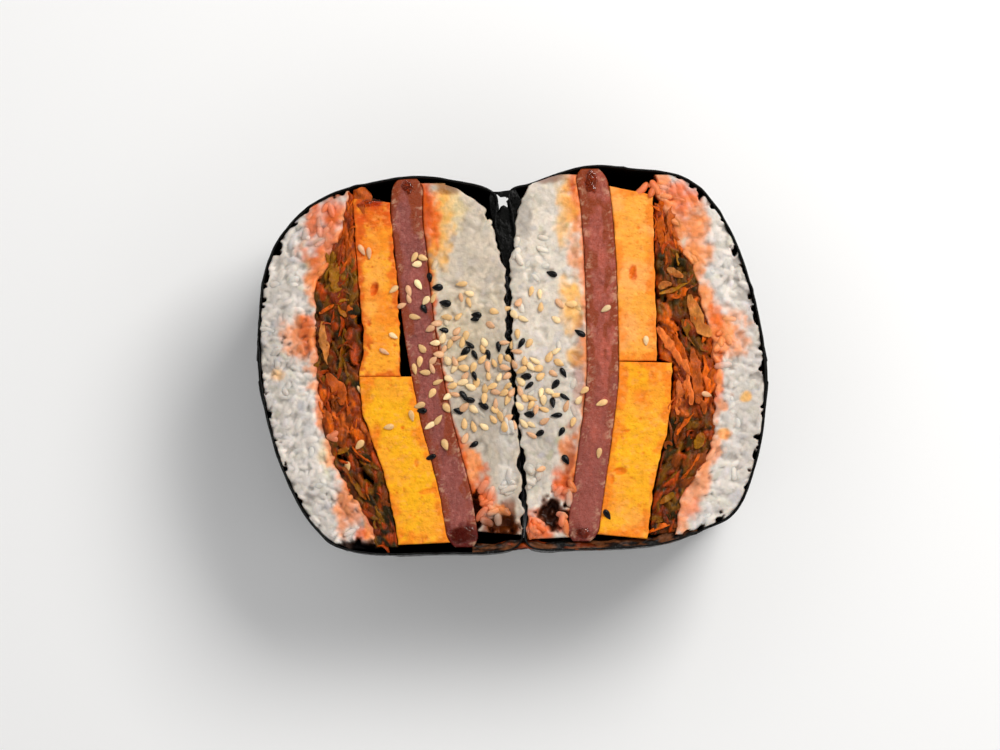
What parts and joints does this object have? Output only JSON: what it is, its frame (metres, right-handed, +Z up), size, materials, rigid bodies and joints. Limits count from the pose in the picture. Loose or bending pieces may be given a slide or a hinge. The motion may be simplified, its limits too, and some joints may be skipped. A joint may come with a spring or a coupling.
{
  "type": "kimchi musubi",
  "caption": "Nori-wrapped block of rice, kimchi, rolled egg and luncheon meat, cut in two and opened with the cut faces up, sprinkled with sesame.",
  "frame": {"origin": "centre of the part's bounding box, at the level that the wrapped ends stand on", "axes": "+Z up, out of the cut faces; +X across the layers, from the left half to the right half; +Y along the layers, towards the notch between the halves"},
  "size_m": [0.1289, 0.0978, 0.049],
  "materials": {
    "nori": "dry seaweed sheet, faint sheen",
    "rice": "moist cooked rice",
    "kimchi": "wet, red-brown with olive leaf",
    "egg": "fine-pored cooked egg",
    "meat": "fried, faintly wet"
  },
  "bodies": {
    "root": {"nori_left": "nori", "nori_right": "nori", "rice_outer_left": "rice", "kimchi_left": "kimchi", "egg_upper_left": "egg", "egg_lower_left": "egg", "meat_left": "meat", "rice_inner_left": "rice", "rice_inner_right": "rice", "meat_right": "meat", "egg_upper_right": "egg", "egg_lower_right": "egg", "kimchi_right": "kimchi", "rice_outer_right": "rice"}
  },
  "joints": []
}
